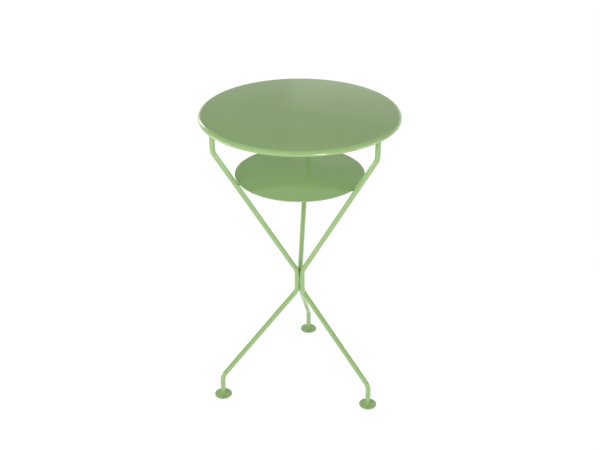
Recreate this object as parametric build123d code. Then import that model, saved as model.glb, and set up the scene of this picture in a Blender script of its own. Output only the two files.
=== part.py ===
from build123d import *
import math
import os

# A tall, slender bistro table on three bent steel rods, in millimetres.
# Frame: +Z up, origin on the floor under the middle of the table. The rear leg points along +Y.
#
# Three identical 12 mm round bars carry everything. Each stands upright under the rim of the
# round top, runs inwards at 30 degrees to the waist, stands upright again where all three bars
# meet, runs outwards at 45 degrees and stands upright on a round foot disc. They are welded to
# each other at the waist and to the edge of a smaller round shelf. The top is a pressed sheet
# with a rolled rim. Studs welded under it pass through the legs' brackets and take nuts.

# ---- driving dimensions ----
TABLE_HEIGHT = 716.0
TOP_RADIUS = 225.0
TOP_SHEET = 1.5
RIM_RADIUS = 8.5           # outer radius of the rim's big rounding
CURL_RADIUS = 2.0          # outer radius where the rim turns inwards at its foot
CURL_FLANGE = 4.0          # width of the flange turned in under the rim
RIM_HEIGHT = RIM_RADIUS + CURL_RADIUS

ROD_RADIUS = 6.0
BEND_RADIUS = 30.0         # of the bar's centre line, at every bend
LEG_RADIUS = 206.0         # from the table's axis to the upright ends of a leg
UPPER_SLOPE = 30.0         # degrees from upright, between the top and the waist
LOWER_SLOPE = 45.0         # degrees from upright, between the waist and the foot
UPPER_BEND_Z = 654.2
LOWER_BEND_Z = 56.4
WAIST_GAP = 0.1            # between neighbouring bars at the waist

SHELF_TOP_Z = 568.0
SHELF_SHEET = 2.0
SHELF_GAP = 0.05           # between the shelf's edge and the bars
SHELF_EDGE_ROUND = 0.4

FOOT_DISC_RADIUS = 21.0
FOOT_DISC_THICKNESS = 3.0
FOOT_DISC_EDGE_ROUND = 1.2
GLIDE_RADIUS = 18.0
GLIDE_THICKNESS = 2.0
GLIDE_EDGE = 0.5
PEG_RADIUS = 2.95
PEG_TIP = 0.6
PEG_HOLE_RADIUS = 3.0
PEG_LENGTH = 13.0
PEG_HOLE_DEPTH = 12.0

BRACKET_THICKNESS = 3.0
BRACKET_WIDTH = 18.0
STUD_SPACING = 34.0
BRACKET_LENGTH = STUD_SPACING + BRACKET_WIDTH
BRACKET_HOLE_RADIUS = 3.5
STUD_RADIUS = 2.5
STUD_LENGTH = 10.0
STUD_TIP = 0.5
STUD_FLANGE_RADIUS = 3.25
STUD_FLANGE = 0.8
WASHER_RADIUS = 5.0
WASHER_HOLE_RADIUS = 2.65
WASHER_THICKNESS = 1.0
NUT_FLATS = 8.0
NUT_SIDES = 6
NUT_CORNER = 0.5
NUT_HEX_HEIGHT = 3.4
NUT_COLLAR_HEIGHT = 1.3
NUT_COLLAR_RADIUS = 3.7
NUT_COLLAR_ROUND = 0.8

FOOT_WELD_LEG = 2.0
BRACKET_WELD_LEG = 2.5
WELD_HOLLOW = 0.35         # of a weld's leg, from the corner to the middle of its face
WAIST_BEAD_RADIUS = 0.9
WAIST_BEAD_DEPTH = 1.4     # of the bead's centre, outwards from the line where two bars meet
WAIST_BEAD_LENGTH = 24.0
SHELF_BEAD_RADIUS = 4.5

# Where each leg stands, in degrees about +Z from +X.
LEG_ANGLES = {"front_left": 210.0, "front_right": 330.0, "rear": 90.0}
LEG_STEP = 120.0           # from one leg to the next

# ---- sizes that follow from them ----
TOP_UNDERSIDE_Z = TABLE_HEIGHT - TOP_SHEET
LEG_TOP_Z = TOP_UNDERSIDE_Z - BRACKET_THICKNESS
LEG_BOTTOM_Z = GLIDE_THICKNESS + FOOT_DISC_THICKNESS
WAIST_RADIUS = (2 * ROD_RADIUS + WAIST_GAP) / math.sqrt(3)
REACH = LEG_RADIUS - WAIST_RADIUS
WAIST_TOP_Z = UPPER_BEND_Z - REACH / math.tan(math.radians(UPPER_SLOPE))
WAIST_BOTTOM_Z = LOWER_BEND_Z + REACH / math.tan(math.radians(LOWER_SLOPE))
SHELF_UNDERSIDE_Z = SHELF_TOP_Z - SHELF_SHEET


def rod_inner_radius(z):
    """How far the sloping bar's inner side is from the table's axis, at a height z."""
    slope = math.radians(UPPER_SLOPE)
    centre = LEG_RADIUS - (UPPER_BEND_Z - z) * math.tan(slope)
    return centre - ROD_RADIUS / math.cos(slope)


SHELF_RADIUS = rod_inner_radius(SHELF_UNDERSIDE_Z) - SHELF_GAP


def around(shape, angle):
    """The shape, built in the XZ plane for a leg along +X, turned to a leg's angle."""
    return Rot(0, 0, angle) * shape


def tabletop():
    """Flat disc whose edge rolls over in a large rounding, then a small one, to a flange turned in."""
    turn_z = TABLE_HEIGHT - RIM_RADIUS
    rim_foot_z = TABLE_HEIGHT - RIM_HEIGHT
    flange_top_z = rim_foot_z + TOP_SHEET
    flange_end = TOP_RADIUS - CURL_RADIUS - CURL_FLANGE
    inner_round = RIM_RADIUS - TOP_SHEET
    inner_curl = CURL_RADIUS - TOP_SHEET
    outer = TOP_RADIUS
    inner = TOP_RADIUS - TOP_SHEET
    with BuildSketch(Plane.XZ) as section:
        with BuildLine():
            Line((0, TABLE_HEIGHT), (outer - RIM_RADIUS, TABLE_HEIGHT))
            RadiusArc((outer - RIM_RADIUS, TABLE_HEIGHT), (outer, turn_z), RIM_RADIUS)
            RadiusArc((outer, turn_z), (outer - CURL_RADIUS, rim_foot_z), CURL_RADIUS)
            Line((outer - CURL_RADIUS, rim_foot_z), (flange_end, rim_foot_z))
            Line((flange_end, rim_foot_z), (flange_end, flange_top_z))
            Line((flange_end, flange_top_z), (inner - inner_curl, flange_top_z))
            RadiusArc((inner - inner_curl, flange_top_z), (inner, turn_z), -inner_curl)
            RadiusArc((inner, turn_z), (inner - inner_round, TOP_UNDERSIDE_Z), -inner_round)
            Line((inner - inner_round, TOP_UNDERSIDE_Z), (0, TOP_UNDERSIDE_Z))
            Line((0, TOP_UNDERSIDE_Z), (0, TABLE_HEIGHT))
        make_face()
    return revolve(section.sketch, Axis.Z)


def leg():
    """One bent bar along +X, with the blind hole for its glide's peg."""
    path = FilletPolyline(
        (LEG_RADIUS, 0, LEG_BOTTOM_Z),
        (LEG_RADIUS, 0, LOWER_BEND_Z),
        (WAIST_RADIUS, 0, WAIST_BOTTOM_Z),
        (WAIST_RADIUS, 0, WAIST_TOP_Z),
        (LEG_RADIUS, 0, UPPER_BEND_Z),
        (LEG_RADIUS, 0, LEG_TOP_Z),
        radius=BEND_RADIUS,
    )
    bar = sweep(Plane((LEG_RADIUS, 0, LEG_BOTTOM_Z)) * Circle(ROD_RADIUS), path)
    hole = Pos(LEG_RADIUS, 0, LEG_BOTTOM_Z) * Cylinder(
        PEG_HOLE_RADIUS, PEG_HOLE_DEPTH, align=(Align.CENTER, Align.CENTER, Align.MIN)
    )
    return bar - hole


def lower_shelf():
    """Flat round sheet, its edges eased, just touching the three bars."""
    disc = Pos(0, 0, SHELF_UNDERSIDE_Z) * Cylinder(
        SHELF_RADIUS, SHELF_SHEET, align=(Align.CENTER, Align.CENTER, Align.MIN)
    )
    return fillet(disc.edges().filter_by(GeomType.CIRCLE), SHELF_EDGE_ROUND)


def bracket():
    """Rounded plate on the top end of a leg, lying along the rim, with a hole for each stud."""
    with BuildPart() as plate:
        with BuildSketch(Plane.XY.offset(LEG_TOP_Z)):
            with Locations((LEG_RADIUS, 0)):
                SlotOverall(BRACKET_LENGTH, BRACKET_WIDTH, rotation=90)
            with Locations((LEG_RADIUS, STUD_SPACING / 2), (LEG_RADIUS, -STUD_SPACING / 2)):
                Circle(BRACKET_HOLE_RADIUS, mode=Mode.SUBTRACT)
        extrude(amount=BRACKET_THICKNESS)
    return plate.part


def at_studs(shape):
    """Six copies of a shape drawn on the Z axis, one at each stud."""
    places = []
    for angle in LEG_ANGLES.values():
        for side in (-1, 1):
            places.append(around(Pos(LEG_RADIUS, side * STUD_SPACING / 2, 0) * shape, angle))
    return Compound(children=places)


def hanging(radius, height, top_z):
    """A cylinder on the Z axis that hangs down from top_z."""
    return Pos(0, 0, top_z) * Cylinder(radius, height, align=(Align.CENTER, Align.CENTER, Align.MAX))


def stud():
    """Welded stud with its thin flange against the sheet and an eased tip."""
    shaft = hanging(STUD_RADIUS, STUD_LENGTH, TOP_UNDERSIDE_Z)
    tip = shaft.edges().sort_by(Axis.Z)[0]
    return chamfer(tip, STUD_TIP) + hanging(STUD_FLANGE_RADIUS, STUD_FLANGE, TOP_UNDERSIDE_Z)


def washer():
    outer = hanging(WASHER_RADIUS, WASHER_THICKNESS, LEG_TOP_Z)
    return outer - hanging(WASHER_HOLE_RADIUS, WASHER_THICKNESS, LEG_TOP_Z)


def nut():
    """Hexagon lock nut with a round collar, its corners turned off at the washer side."""
    nut_top = LEG_TOP_Z - WASHER_THICKNESS
    hexagon = Pos(0, 0, nut_top - NUT_HEX_HEIGHT) * extrude(
        RegularPolygon(NUT_FLATS / 2, NUT_SIDES, major_radius=False), NUT_HEX_HEIGHT
    )
    corner_radius = NUT_FLATS / math.sqrt(3)
    turned = chamfer(
        hanging(corner_radius, NUT_HEX_HEIGHT, nut_top).edges().sort_by(Axis.Z)[0], NUT_CORNER
    )
    collar = hanging(NUT_COLLAR_RADIUS, NUT_COLLAR_HEIGHT, nut_top - NUT_HEX_HEIGHT)
    collar = fillet(collar.edges().sort_by(Axis.Z)[0], NUT_COLLAR_ROUND)
    bore = hanging(STUD_RADIUS, NUT_HEX_HEIGHT + NUT_COLLAR_HEIGHT, nut_top)
    return (hexagon & turned) + collar - bore


def foot_disc():
    """Round steel disc under a leg, with a hole for the glide's peg."""
    disc = Pos(LEG_RADIUS, 0, GLIDE_THICKNESS) * Cylinder(
        FOOT_DISC_RADIUS, FOOT_DISC_THICKNESS, align=(Align.CENTER, Align.CENTER, Align.MIN)
    )
    disc = fillet(disc.edges().sort_by(Axis.Z)[-1], FOOT_DISC_EDGE_ROUND)
    hole = Pos(LEG_RADIUS, 0, GLIDE_THICKNESS) * Cylinder(
        PEG_HOLE_RADIUS, FOOT_DISC_THICKNESS, align=(Align.CENTER, Align.CENTER, Align.MIN)
    )
    return disc - hole


def glide():
    """Plastic pad with a peg that is pushed up through the disc into the bar."""
    pad = Cylinder(GLIDE_RADIUS, GLIDE_THICKNESS, align=(Align.CENTER, Align.CENTER, Align.MIN))
    pad = chamfer(pad.edges().sort_by(Axis.Z)[0], GLIDE_EDGE)
    peg = Cylinder(
        PEG_RADIUS, GLIDE_THICKNESS + PEG_LENGTH, align=(Align.CENTER, Align.CENTER, Align.MIN)
    )
    peg = chamfer(peg.edges().sort_by(Axis.Z)[-1], PEG_TIP)
    return Pos(LEG_RADIUS, 0, 0) * (pad + peg)


def fillet_ring(leg_length, z, up):
    """Hollow-faced weld around a bar's upright end, on a flat face at height z."""
    way = 1 if up else -1
    with BuildSketch(Plane.XZ) as section:
        with BuildLine():
            Line((ROD_RADIUS, z), (ROD_RADIUS + leg_length, z))
            ThreePointArc(
                (ROD_RADIUS + leg_length, z),
                (ROD_RADIUS + WELD_HOLLOW * leg_length, z + way * WELD_HOLLOW * leg_length),
                (ROD_RADIUS, z + way * leg_length),
            )
            Line((ROD_RADIUS, z + way * leg_length), (ROD_RADIUS, z))
        make_face()
    return Pos(LEG_RADIUS, 0, 0) * revolve(section.sketch, Axis.Z)


def waist_bead(bars):
    """Weld in the groove between the bar along +X and the next one, with rounded ends."""
    distance = WAIST_RADIUS / 2 + WAIST_BEAD_DEPTH
    middle_z = (WAIST_TOP_Z + WAIST_BOTTOM_Z) / 2
    run = Cylinder(WAIST_BEAD_RADIUS, WAIST_BEAD_LENGTH)
    for end in (-1, 1):
        run += Pos(0, 0, end * WAIST_BEAD_LENGTH / 2) * Sphere(WAIST_BEAD_RADIUS)
    return Rot(0, 0, LEG_STEP / 2) * Pos(distance, 0, middle_z) * run - bars


def shelf_bead(bar, shelf):
    """Weld under the shelf where its edge touches a bar."""
    ball = Pos(SHELF_RADIUS, 0, SHELF_UNDERSIDE_Z) * Sphere(SHELF_BEAD_RADIUS)
    above = Pos(SHELF_RADIUS, 0, SHELF_UNDERSIDE_Z) * Box(
        4 * SHELF_BEAD_RADIUS,
        4 * SHELF_BEAD_RADIUS,
        4 * SHELF_BEAD_RADIUS,
        align=(Align.CENTER, Align.CENTER, Align.MIN),
    )
    return ball - above - bar - shelf


def at_legs(shape):
    """Three copies of a shape built for a leg along +X, one at each leg."""
    return Compound(children=[around(shape, angle) for angle in LEG_ANGLES.values()])


def build():
    """Every node's name with its shape."""
    bar = leg()
    shelf = lower_shelf()
    bars = Compound(children=[Rot(0, 0, turn) * bar for turn in (0, LEG_STEP)])
    nodes = {
        "tabletop_sheet": tabletop(),
        "lower_shelf": shelf,
        "weld_studs": at_studs(stud()),
        "stud_washers": at_studs(washer()),
        "stud_nuts": at_studs(nut()),
        "waist_welds": at_legs(waist_bead(bars)),
        "shelf_welds": at_legs(shelf_bead(bar, shelf)),
        "foot_welds": at_legs(fillet_ring(FOOT_WELD_LEG, LEG_BOTTOM_Z, True)),
        "bracket_welds": at_legs(fillet_ring(BRACKET_WELD_LEG, LEG_TOP_Z, False)),
    }
    for place, angle in LEG_ANGLES.items():
        nodes[f"leg_{place}"] = around(bar, angle)
        nodes[f"bracket_{place}"] = around(bracket(), angle)
        nodes[f"foot_disc_{place}"] = around(foot_disc(), angle)
        nodes[f"glide_{place}"] = around(glide(), angle)
    return nodes


os.makedirs("parts", exist_ok=True)
for node, shape in build().items():
    export_step(shape, f"parts/{node}.step")
print("shelf radius", round(SHELF_RADIUS, 2), "waist", round(WAIST_BOTTOM_Z, 1), round(WAIST_TOP_Z, 1))
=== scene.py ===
import math
import bmesh
import bpy
from mathutils import Matrix, Vector


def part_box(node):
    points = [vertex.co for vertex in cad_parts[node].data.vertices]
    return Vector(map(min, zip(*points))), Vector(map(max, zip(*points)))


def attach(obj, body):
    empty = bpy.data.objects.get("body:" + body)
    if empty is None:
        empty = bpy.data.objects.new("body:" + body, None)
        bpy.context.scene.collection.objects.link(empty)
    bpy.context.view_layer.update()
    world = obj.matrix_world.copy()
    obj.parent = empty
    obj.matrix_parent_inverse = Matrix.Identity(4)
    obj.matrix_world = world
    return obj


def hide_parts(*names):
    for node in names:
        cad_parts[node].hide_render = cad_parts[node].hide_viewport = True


# A pale green powder-coated bistro table: round top with a rolled rim, round lower shelf, and
# three bent bars that meet at a welded waist and stand on round foot discs. All in metres.

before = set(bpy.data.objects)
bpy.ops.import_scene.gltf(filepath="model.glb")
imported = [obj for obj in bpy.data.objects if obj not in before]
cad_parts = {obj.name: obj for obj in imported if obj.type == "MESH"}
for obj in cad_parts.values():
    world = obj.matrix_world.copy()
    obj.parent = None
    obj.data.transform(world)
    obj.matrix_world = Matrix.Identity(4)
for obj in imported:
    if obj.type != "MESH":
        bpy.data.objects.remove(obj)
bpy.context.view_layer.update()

MM = 0.001
BODY = "root"
PLACES = {"front_left": 210.0, "front_right": 330.0, "rear": 90.0}

# Mesh steps, and how near two points may be before they are merged.
TOP_STEPS = 192
SHELF_STEPS = 160
BAR_SIDES = 40
BEND_STEPS = 14
ROUND_STEPS = 10
TINY_ROUND_STEPS = 4
SMALL_SIDES = 48
MERGE_DISTANCE = 0.002 * MM

# Sizes that the frame's boxes don't give.
SHEET = 1.5 * MM
RIM_ROUND = 8.5 * MM
CURL_ROUND = 2.0 * MM
CURL_FLANGE = 4.0 * MM
BEND_RADIUS = 30.0 * MM
UPPER_SLOPE = math.radians(30.0)
LOWER_SLOPE = math.radians(45.0)
PEG_HOLE_RADIUS = 3.0 * MM
PEG_RADIUS = 2.95 * MM
STUD_RADIUS = 2.5 * MM
STUD_FLANGE_RADIUS = 3.25 * MM
STUD_FLANGE_HEIGHT = 0.8 * MM
STUD_SPACING = 34.0 * MM
THREAD_PITCH = 0.8 * MM
THREAD_DEPTH = 0.4 * MM

# Ring welds: how far one goes into its bar, its hollow as part of its leg, and its laps.
WELD_SINK = 0.2 * MM
WELD_HOLLOW = 0.86
WELD_LAPS = 22
WELD_LAP_DIP = 0.16
WELD_STEPS = 8 * WELD_LAPS


# ---- places, read from the frame ----

def low(node):
    return Vector(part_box(node)[0])


def high(node):
    return Vector(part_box(node)[1])


def middle(node):
    return (low(node) + high(node)) / 2


TOP_RADIUS = (high("tabletop_sheet").x - low("tabletop_sheet").x) / 2
TABLE_HEIGHT = high("tabletop_sheet").z
RIM_FOOT = low("tabletop_sheet").z
SHELF_RADIUS = (high("lower_shelf").x - low("lower_shelf").x) / 2
SHELF_TOP = high("lower_shelf").z
SHELF_UNDERSIDE = low("lower_shelf").z
BAR_RADIUS = (high("leg_rear").x - low("leg_rear").x) / 2
BAR_BOTTOM = low("leg_rear").z
BAR_TOP = high("leg_rear").z
LEG_RADIUS = middle("foot_disc_rear").y
WAIST_RADIUS = low("leg_rear").y + BAR_RADIUS
WAIST_MIDDLE = middle("waist_welds").z
DISC_RADIUS = (high("foot_disc_rear").x - low("foot_disc_rear").x) / 2
DISC_BOTTOM = low("foot_disc_rear").z
DISC_TOP = high("foot_disc_rear").z
GLIDE_RADIUS = (high("glide_rear").x - low("glide_rear").x) / 2
GLIDE_TOP = high("glide_rear").z

REACH = LEG_RADIUS - WAIST_RADIUS
BAR_AT_SHELF = SHELF_RADIUS + BAR_RADIUS / math.cos(UPPER_SLOPE)
UPPER_BEND = SHELF_UNDERSIDE + (LEG_RADIUS - BAR_AT_SHELF) / math.tan(UPPER_SLOPE)
WAIST_TOP = UPPER_BEND - REACH / math.tan(UPPER_SLOPE)
WAIST_BOTTOM = 2 * WAIST_MIDDLE - WAIST_TOP
LOWER_BEND = WAIST_BOTTOM - REACH / math.tan(LOWER_SLOPE)


# ---- mesh helpers ----

def finish_piece(bm, name, nodes, material, smooth_angle=40.0):
    """Merges doubled points, turns the faces outwards, shades the mesh and hangs it on the frame."""
    bmesh.ops.remove_doubles(bm, verts=bm.verts, dist=MERGE_DISTANCE)
    bmesh.ops.recalc_face_normals(bm, faces=bm.faces)
    mesh = bpy.data.meshes.new(name)
    bm.to_mesh(mesh)
    bm.free()
    piece = bpy.data.objects.new(name, mesh)
    bpy.context.scene.collection.objects.link(piece)
    mesh.shade_smooth()
    mesh.set_sharp_from_angle(angle=math.radians(smooth_angle))
    mesh.materials.append(material)
    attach(piece, BODY)
    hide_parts(*nodes)


def turn_all(bm, degrees):
    """Turns the whole mesh about the table's axis."""
    turn = Matrix.Rotation(math.radians(degrees), 3, "Z")
    bmesh.ops.rotate(bm, verts=bm.verts, cent=(0, 0, 0), matrix=turn)


def edges_of(geometry):
    """The edges among an operator's results."""
    return [part for part in geometry if isinstance(part, bmesh.types.BMEdge)]


def lift(bm, ring, step):
    """Extrudes a ring of edges by a step and gives back the new ring."""
    grown = bmesh.ops.extrude_edge_only(bm, edges=ring)["geom"]
    verts = [part for part in grown if isinstance(part, bmesh.types.BMVert)]
    bmesh.ops.translate(bm, verts=verts, vec=step)
    return edges_of(grown)


def swing(bm, ring, centre, angle):
    """Spins a ring of edges about a centre in the XZ plane and gives back the last ring."""
    spun = bmesh.ops.spin(
        bm, geom=ring, cent=centre, axis=(0, 1, 0), dvec=(0, 0, 0),
        angle=angle, steps=BEND_STEPS, use_duplicate=False,
    )
    return edges_of(spun["geom_last"])


def outline(bm, points):
    """An open chain of edges through a few points."""
    verts = [bm.verts.new(p) for p in points]
    return [bm.edges.new(pair) for pair in zip(verts, verts[1:])]


def arc(centre, radius, start, end, steps=ROUND_STEPS):
    """Points of an arc in the XZ plane, angles in degrees."""
    angles = [math.radians(start + (end - start) * i / steps) for i in range(steps + 1)]
    return [(centre[0] + radius * math.cos(a), 0, centre[1] + radius * math.sin(a)) for a in angles]


def lathe(points, steps, centre=(0, 0, 0)):
    """A full turn of an outline about an upright axis."""
    bm = bmesh.new()
    edges = outline(bm, points)
    bmesh.ops.spin(
        bm, geom=list(bm.verts) + edges, cent=(0, 0, 0), axis=(0, 0, 1), dvec=(0, 0, 0),
        angle=math.tau, steps=steps, use_merge=True, use_duplicate=False,
    )
    bmesh.ops.remove_doubles(bm, verts=bm.verts, dist=MERGE_DISTANCE)
    bmesh.ops.translate(bm, verts=bm.verts, vec=centre)
    return bm


def join(parts):
    """One mesh out of several."""
    whole = bmesh.new()
    for part in parts:
        carrier = bpy.data.meshes.new("carrier")
        part.to_mesh(carrier)
        part.free()
        whole.from_mesh(carrier)
        bpy.data.meshes.remove(carrier)
    return whole


# ---- materials ----

# Nearly all of a noise's values lie between the low and the high one.
NOISE_LOW = 0.3
NOISE_MIDDLE = 0.5
NOISE_HIGH = 0.7

COAT_PEEL_DEPTH = 0.006 * MM
COAT_WAVE_DEPTH = 0.012 * MM
ZINC_GRAIN_DEPTH = 0.01 * MM
PLASTIC_GRAIN_DEPTH = 0.03 * MM


def node_tree(name):
    material = bpy.data.materials.new(name)
    material.use_nodes = True
    nodes = material.node_tree.nodes
    nodes.clear()
    shader = nodes.new("ShaderNodeBsdfPrincipled")
    output = nodes.new("ShaderNodeOutputMaterial")
    material.node_tree.links.new(shader.outputs["BSDF"], output.inputs["Surface"])
    return material, nodes, material.node_tree.links, shader


def noise(nodes, links, where, scale, detail=2.0):
    made = nodes.new("ShaderNodeTexNoise")
    made.inputs["Scale"].default_value = scale
    made.inputs["Detail"].default_value = detail
    links.new(where, made.inputs["Vector"])
    return made.outputs["Fac"]


def ramp(nodes, links, factor, stops):
    """Colours a factor by stops, each a place from 0 to 1 and its colour."""
    made = nodes.new("ShaderNodeValToRGB")
    links.new(factor, made.inputs["Fac"])
    elements = made.color_ramp.elements
    elements[0].position, elements[0].color = stops[0]
    elements[1].position, elements[1].color = stops[-1]
    for position, color in stops[1:-1]:
        added = elements.new(position)
        added.color = color
    return made.outputs["Color"]


def span(nodes, links, value, out_low, out_high):
    """Spreads a noise's values over a range."""
    made = nodes.new("ShaderNodeMapRange")
    made.inputs["From Min"].default_value = NOISE_LOW
    made.inputs["From Max"].default_value = NOISE_HIGH
    made.inputs["To Min"].default_value = out_low
    made.inputs["To Max"].default_value = out_high
    links.new(value, made.inputs["Value"])
    return made.outputs["Result"]


def bump(nodes, links, height, depth, under=None):
    """A relief of a given depth, on top of another one where there is one."""
    made = nodes.new("ShaderNodeBump")
    made.inputs["Distance"].default_value = depth
    links.new(height, made.inputs["Height"])
    if under is not None:
        links.new(under, made.inputs["Normal"])
    return made.outputs["Normal"]


def green_coat():
    """Glossy powder coat: faintly cloudy tone, orange-peel surface and a thin clear gloss."""
    material, nodes, links, shader = node_tree("green_powder_coat")
    where = nodes.new("ShaderNodeTexCoord").outputs["Object"]
    cloud = noise(nodes, links, where, scale=9.0, detail=3.0)
    tone = ramp(nodes, links, cloud, [
        (NOISE_LOW, (0.236, 0.390, 0.127, 1.0)),
        (NOISE_MIDDLE, (0.246, 0.402, 0.134, 1.0)),
        (NOISE_HIGH, (0.256, 0.414, 0.141, 1.0)),
    ])
    links.new(tone, shader.inputs["Base Color"])
    haze = noise(nodes, links, where, scale=7.0, detail=1.0)
    links.new(span(nodes, links, haze, out_low=0.185, out_high=0.205), shader.inputs["Roughness"])
    shader.inputs["Specular IOR Level"].default_value = 0.8
    peel = noise(nodes, links, where, scale=420.0, detail=1.0)
    wave = noise(nodes, links, where, scale=55.0, detail=1.0)
    waved = bump(nodes, links, wave, COAT_WAVE_DEPTH)
    links.new(bump(nodes, links, peel, COAT_PEEL_DEPTH, under=waved), shader.inputs["Normal"])
    shader.inputs["Coat Weight"].default_value = 0.45
    shader.inputs["Coat Roughness"].default_value = 0.08
    return material


def zinc():
    """Bright zinc plate with a fine grain."""
    material, nodes, links, shader = node_tree("zinc_plate")
    where = nodes.new("ShaderNodeTexCoord").outputs["Object"]
    mottle = noise(nodes, links, where, scale=700.0, detail=3.0)
    tone = ramp(nodes, links, mottle, [
        (NOISE_LOW, (0.52, 0.54, 0.56, 1.0)),
        (NOISE_HIGH, (0.68, 0.69, 0.70, 1.0)),
    ])
    links.new(tone, shader.inputs["Base Color"])
    shader.inputs["Metallic"].default_value = 1.0
    grain = noise(nodes, links, where, scale=2200.0)
    links.new(span(nodes, links, grain, out_low=0.28, out_high=0.45), shader.inputs["Roughness"])
    links.new(bump(nodes, links, grain, ZINC_GRAIN_DEPTH), shader.inputs["Normal"])
    return material


def glide_plastic():
    """Dark polyethylene with a fine moulded grain."""
    material, nodes, links, shader = node_tree("glide_plastic")
    where = nodes.new("ShaderNodeTexCoord").outputs["Object"]
    mottle = noise(nodes, links, where, scale=90.0, detail=3.0)
    tone = ramp(nodes, links, mottle, [
        (NOISE_LOW, (0.030, 0.031, 0.030, 1.0)),
        (NOISE_HIGH, (0.046, 0.047, 0.045, 1.0)),
    ])
    links.new(tone, shader.inputs["Base Color"])
    grain = noise(nodes, links, where, scale=1500.0)
    links.new(span(nodes, links, grain, out_low=0.48, out_high=0.62), shader.inputs["Roughness"])
    links.new(bump(nodes, links, grain, PLASTIC_GRAIN_DEPTH), shader.inputs["Normal"])
    return material


COAT = green_coat()
ZINC = zinc()
PLASTIC = glide_plastic()


# ---- the table's pieces ----

def make_top():
    """Pressed sheet: flat face, large rounding, small curl and a flange turned in under the rim."""
    outer = TOP_RADIUS
    under = TABLE_HEIGHT - SHEET
    round_at = (outer - RIM_ROUND, TABLE_HEIGHT - RIM_ROUND)
    curl_at = (outer - CURL_ROUND, RIM_FOOT + CURL_ROUND)
    flange = outer - CURL_ROUND - CURL_FLANGE
    points = [(0, 0, TABLE_HEIGHT)]
    points += arc(round_at, RIM_ROUND, 90, 0, 2 * ROUND_STEPS)
    points += arc(curl_at, CURL_ROUND, 0, -90)
    points += arc((flange, RIM_FOOT + SHEET / 2), SHEET / 2, -90, -270)
    points += arc(curl_at, CURL_ROUND - SHEET, -90, 0, TINY_ROUND_STEPS)
    points += arc(round_at, RIM_ROUND - SHEET, 0, 90, 2 * ROUND_STEPS)
    points += [(0, 0, under)]
    bm = lathe(points, TOP_STEPS)
    finish_piece(bm, "round_top", ["tabletop_sheet"], COAT, smooth_angle=30.0)


def make_shelf():
    """Plain round sheet with eased edges."""
    ease = 0.6 * MM
    side = SHELF_RADIUS - ease
    points = [(0, 0, SHELF_TOP)]
    points += arc((side, SHELF_TOP - ease), ease, 90, 0)
    points += arc((side, SHELF_UNDERSIDE + ease), ease, 0, -90)
    points += [(0, 0, SHELF_UNDERSIDE)]
    bm = lathe(points, SHELF_STEPS)
    finish_piece(bm, "round_shelf", ["lower_shelf"], COAT, smooth_angle=50.0)


def bend(bm, ring, at, heading, turn):
    """One bend of a bar in the XZ plane: heading is its direction before it, turn is in radians."""
    side = Vector((0, 1, 0)).cross(heading) * (1 if turn > 0 else -1)
    return swing(bm, ring, at + side * BEND_RADIUS, turn)


def make_leg(place, angle):
    """A bar swept up from its foot: upright, leaning in, upright at the waist, leaning out, upright."""
    bm = bmesh.new()
    bmesh.ops.create_circle(bm, cap_ends=False, segments=BAR_SIDES, radius=BAR_RADIUS)
    bmesh.ops.translate(bm, verts=bm.verts, vec=(LEG_RADIUS, 0, BAR_BOTTOM))
    corners = [
        Vector((LEG_RADIUS, 0, BAR_BOTTOM)),
        Vector((LEG_RADIUS, 0, LOWER_BEND)),
        Vector((WAIST_RADIUS, 0, WAIST_BOTTOM)),
        Vector((WAIST_RADIUS, 0, WAIST_TOP)),
        Vector((LEG_RADIUS, 0, UPPER_BEND)),
        Vector((LEG_RADIUS, 0, BAR_TOP)),
    ]
    turns = [-LOWER_SLOPE, LOWER_SLOPE, UPPER_SLOPE, -UPPER_SLOPE]
    ring = list(bm.edges)
    here = corners[0]
    heading = (corners[1] - corners[0]).normalized()
    for corner, turn in zip(corners[1:-1], turns):
        setback = BEND_RADIUS * math.tan(abs(turn) / 2)
        start = corner - heading * setback
        ring = lift(bm, ring, start - here)
        ring = bend(bm, ring, start, heading, turn)
        heading = Matrix.Rotation(turn, 3, "Y") @ heading
        here = corner + heading * setback
    ring = lift(bm, ring, corners[-1] - here)
    bmesh.ops.contextual_create(bm, geom=ring)
    foot_ring = [e for e in bm.edges if e.is_boundary]
    bmesh.ops.contextual_create(bm, geom=foot_ring)
    turn_all(bm, angle)
    finish_piece(bm, "bar_" + place, ["leg_" + place], COAT)


def make_foot(place, angle):
    """Foot disc with a rolled edge and a hole for the glide's peg."""
    roll = 1.4 * MM
    under_roll = roll / 3
    points = [(PEG_HOLE_RADIUS, 0, DISC_TOP)]
    points += arc((DISC_RADIUS - roll, DISC_TOP - roll), roll, 90, 0)
    points += arc((DISC_RADIUS - under_roll, DISC_BOTTOM + under_roll), under_roll, 0, -90, TINY_ROUND_STEPS)
    points += [(PEG_HOLE_RADIUS, 0, DISC_BOTTOM), (PEG_HOLE_RADIUS, 0, DISC_TOP)]
    bm = lathe(points, 2 * SMALL_SIDES, centre=(LEG_RADIUS, 0, 0))
    turn_all(bm, angle)
    finish_piece(bm, "disc_" + place, ["foot_disc_" + place], COAT)


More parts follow.
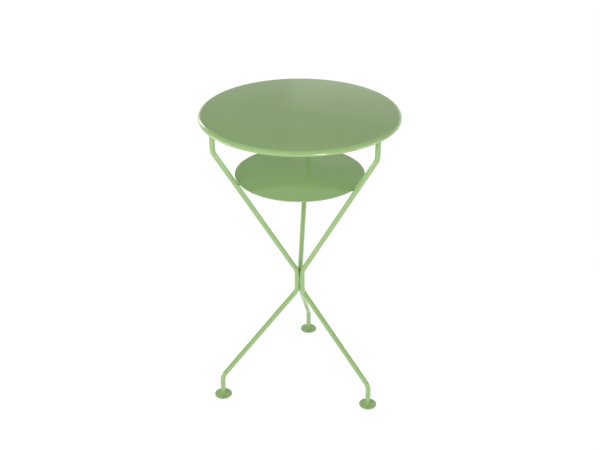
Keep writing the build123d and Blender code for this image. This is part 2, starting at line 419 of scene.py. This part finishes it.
def make_glide(place, angle):
    """Plastic pad with eased edges, a shallow ring groove underneath and its peg."""
    ease = 0.5 * MM
    tip = 0.6 * MM
    groove = 0.4 * MM
    groove_corners = [(0.62, 0), (0.60, groove), (0.54, groove), (0.52, 0)]
    points = [(0, 0, GLIDE_TOP), (PEG_RADIUS - tip, 0, GLIDE_TOP), (PEG_RADIUS, 0, GLIDE_TOP - tip)]
    points += [(PEG_RADIUS, 0, DISC_BOTTOM)]
    points += arc((GLIDE_RADIUS - ease, DISC_BOTTOM - ease), ease, 90, 0, TINY_ROUND_STEPS)
    points += arc((GLIDE_RADIUS - ease, ease), ease, 0, -90, TINY_ROUND_STEPS)
    points += [(part * GLIDE_RADIUS, 0, height) for part, height in groove_corners]
    points += [(0, 0, 0)]
    bm = lathe(points, 2 * SMALL_SIDES, centre=(LEG_RADIUS, 0, 0))
    turn_all(bm, angle)
    finish_piece(bm, "glide_pad_" + place, ["glide_" + place], PLASTIC, smooth_angle=30.0)


def lap_weld(bm, plate_z, leg):
    """Dips a weld's face between its laps. What lies against the bar or the plate stays."""
    margin = 0.1 * leg
    for vert in bm.verts:
        across = math.hypot(vert.co.x, vert.co.y)
        if across > BAR_RADIUS + margin and abs(vert.co.z - plate_z) > margin:
            turn = math.atan2(vert.co.y, vert.co.x)
            lap = 1.0 - WELD_LAP_DIP * (0.5 + 0.5 * math.cos(WELD_LAPS * turn))
            reach = BAR_RADIUS + (across - BAR_RADIUS) * lap
            vert.co.x *= reach / across
            vert.co.y *= reach / across


def ring_welds(name, node, plate_z, way):
    """Three hollow-faced fillets round the bars: way is 1 on top of a plate and -1 under one."""
    leg = high(node).z - low(node).z
    inner = BAR_RADIUS - WELD_SINK
    outer = BAR_RADIUS + leg
    far_z = plate_z + way * leg
    face = arc((outer, far_z), leg * WELD_HOLLOW, -90 * way, -180 * way, TINY_ROUND_STEPS)[1:-1]
    corners = [(inner, 0, plate_z), (outer, 0, plate_z)]
    points = corners + face + [(BAR_RADIUS, 0, far_z), (inner, 0, far_z), corners[0]]
    made = []
    for angle in PLACES.values():
        bm = lathe(points, WELD_STEPS)
        lap_weld(bm, plate_z, leg)
        bmesh.ops.translate(bm, verts=bm.verts, vec=(LEG_RADIUS, 0, 0))
        turn_all(bm, angle)
        made.append(bm)
    finish_piece(join(made), name, [node], COAT, smooth_angle=70.0)


def make_foot_welds():
    ring_welds("foot_weld_beads", "foot_welds", low("foot_welds").z, 1)


def make_bracket_welds():
    ring_welds("bracket_weld_beads", "bracket_welds", high("bracket_welds").z, -1)


def make_studs():
    """Six M5 studs with their flange, ring grooves for their thread and a tapered tip, a pair at each leg."""
    top = high("weld_studs").z
    thread_top = top - STUD_FLANGE_HEIGHT
    tip = low("weld_studs").z
    root = STUD_RADIUS - THREAD_DEPTH
    taper_height = 0.5 * MM
    taper_width = 0.4 * MM
    points = [(0, 0, top), (STUD_FLANGE_RADIUS, 0, top), (STUD_FLANGE_RADIUS, 0, thread_top)]
    points += [(STUD_RADIUS, 0, thread_top)]
    for groove in range(int((thread_top - tip - THREAD_PITCH) / THREAD_PITCH)):
        crest = thread_top - (groove + 0.5) * THREAD_PITCH
        points += [(root, 0, crest + 0.25 * THREAD_PITCH), (STUD_RADIUS, 0, crest)]
    points += [(root, 0, tip + taper_height), (root - taper_width, 0, tip), (0, 0, tip)]
    made = []
    for angle in PLACES.values():
        for side in (-1, 1):
            bm = lathe(points, SMALL_SIDES, centre=(LEG_RADIUS, side * STUD_SPACING / 2, 0))
            turn_all(bm, angle)
            made.append(bm)
    finish_piece(join(made), "threaded_studs", ["weld_studs"], ZINC, smooth_angle=30.0)


make_top()
make_shelf()
make_foot_welds()
make_bracket_welds()
make_studs()
for place, angle in PLACES.items():
    make_leg(place, angle)
    make_foot(place, angle)
    make_glide(place, angle)

# Frame nodes whose shape is already right keep it and get their finish.
KEPT = {
    "stud_washers": ZINC,
    "stud_nuts": ZINC,
    "waist_welds": COAT,
    "shelf_welds": COAT,
    "bracket_front_left": COAT,
    "bracket_front_right": COAT,
    "bracket_rear": COAT,
}
for node, material in KEPT.items():
    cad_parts[node].material_slots[0].material = material


# ---- floor, light and camera ----

FLOOR_HALF_SIDE = 14.0
FLOOR_SHADE = 0.10
FLOOR_GLOW = 0.945

LAMP_AIM = Vector((0, 0, 0.45))
SHELF_GLOW_POWER = 0.12
SHELF_GLOW_SPREAD = 0.9

# How bright the tent is, from the horizon (0) to overhead (1).
TENT_WALLS = [(0.0, 0.86), (0.25, 0.82), (0.345, 0.30), (0.41, 0.22), (0.52, 0.62), (1.0, 0.72)]

CAMERA_PLACE = (0.2302, -1.9817, 1.4903)
CAMERA_HEADING = math.radians(6.615)
CAMERA_PITCH_DOWN = math.radians(27.937)
LENS = 57.78
SENSOR = 36.0


def grey(level):
    return (level, level, level, 1.0)


def make_floor():
    """A matt floor that is bright mostly by its own glow, so that it stays evenly pale."""
    bm = bmesh.new()
    bmesh.ops.create_grid(bm, x_segments=1, y_segments=1, size=FLOOR_HALF_SIDE)
    mesh = bpy.data.meshes.new("floor")
    bm.to_mesh(mesh)
    bm.free()
    floor = bpy.data.objects.new("floor", mesh)
    bpy.context.scene.collection.objects.link(floor)
    material, _, _, shader = node_tree("pale_floor")
    shader.inputs["Base Color"].default_value = grey(FLOOR_SHADE)
    shader.inputs["Specular IOR Level"].default_value = 0.0
    shader.inputs["Roughness"].default_value = 1.0
    shader.inputs["Emission Color"].default_value = grey(1.0)
    shader.inputs["Emission Strength"].default_value = FLOOR_GLOW
    mesh.materials.append(material)


def softbox(name, bearing, elevation, distance, width, height, power, mirrored=True):
    """A large soft lamp facing LAMP_AIM, at a bearing about +Z from +X. Gloss can be kept from showing it."""
    turn = math.radians(bearing)
    rise = math.radians(elevation)
    away = Vector((math.cos(turn) * math.cos(rise), math.sin(turn) * math.cos(rise), math.sin(rise)))
    data = bpy.data.lights.new(name, "AREA")
    data.shape = "RECTANGLE"
    data.size = width
    data.size_y = height
    data.energy = power
    lamp = bpy.data.objects.new(name, data)
    lamp.location = LAMP_AIM + distance * away
    lamp.rotation_euler = away.to_track_quat("Z", "Y").to_euler()
    lamp.visible_camera = False
    lamp.visible_glossy = mirrored
    bpy.context.scene.collection.objects.link(lamp)


def shelf_glow():
    """A faint round lamp under the top, for the light that pale walls throw onto the shelf."""
    data = bpy.data.lights.new("shelf_glow", "AREA")
    data.shape = "DISK"
    data.size = 2 * SHELF_GLOW_SPREAD * (TOP_RADIUS - RIM_ROUND)
    data.energy = SHELF_GLOW_POWER
    lamp = bpy.data.objects.new("shelf_glow", data)
    lamp.location = (0, 0, RIM_FOOT)
    lamp.visible_camera = False
    bpy.context.scene.collection.objects.link(lamp)


def make_tent():
    """A studio tent: pale walls up to about 15 degrees, a dim band at 20 to 24, and a brighter roof."""
    world = bpy.data.worlds.new("studio_tent")
    world.use_nodes = True
    nodes = world.node_tree.nodes
    links = world.node_tree.links
    split = nodes.new("ShaderNodeSeparateXYZ")
    links.new(nodes.new("ShaderNodeTexCoord").outputs["Generated"], split.inputs["Vector"])
    walls = ramp(nodes, links, split.outputs["Z"], [(at, grey(level)) for at, level in TENT_WALLS])
    links.new(walls, nodes["Background"].inputs["Color"])
    nodes["Background"].inputs["Strength"].default_value = 1.0
    bpy.context.scene.world = world


def make_light():
    """The tent and its lamps. Both side lamps stay below the shelf, so that no flat top mirrors them."""
    make_tent()
    softbox(
        "front_fill", bearing=-112.0, elevation=26.0, distance=2.4, width=1.5, height=1.1, power=26.0,
        mirrored=False,
    )
    softbox("front_right_key", bearing=-62.0, elevation=8.0, distance=2.8, width=0.5, height=1.0, power=13.0)
    softbox("left_side", bearing=186.0, elevation=-3.5, distance=2.6, width=1.4, height=0.45, power=9.0)
    softbox("right_side", bearing=-8.0, elevation=-3.5, distance=2.6, width=1.4, height=0.45, power=7.0)
    softbox("back_left_strip", bearing=138.0, elevation=20.0, distance=2.6, width=0.3, height=1.0, power=7.0)
    softbox("back_right_panel", bearing=76.0, elevation=18.0, distance=3.0, width=2.2, height=0.95, power=1.3)
    shelf_glow()


def make_camera():
    data = bpy.data.cameras.new("camera")
    data.lens = LENS
    data.sensor_width = SENSOR
    camera = bpy.data.objects.new("camera", data)
    camera.location = CAMERA_PLACE
    camera.rotation_euler = (math.pi / 2 - CAMERA_PITCH_DOWN, 0, CAMERA_HEADING)
    bpy.context.scene.collection.objects.link(camera)
    bpy.context.scene.camera = camera


make_floor()
make_light()
make_camera()
bpy.context.scene.view_settings.view_transform = "Standard"
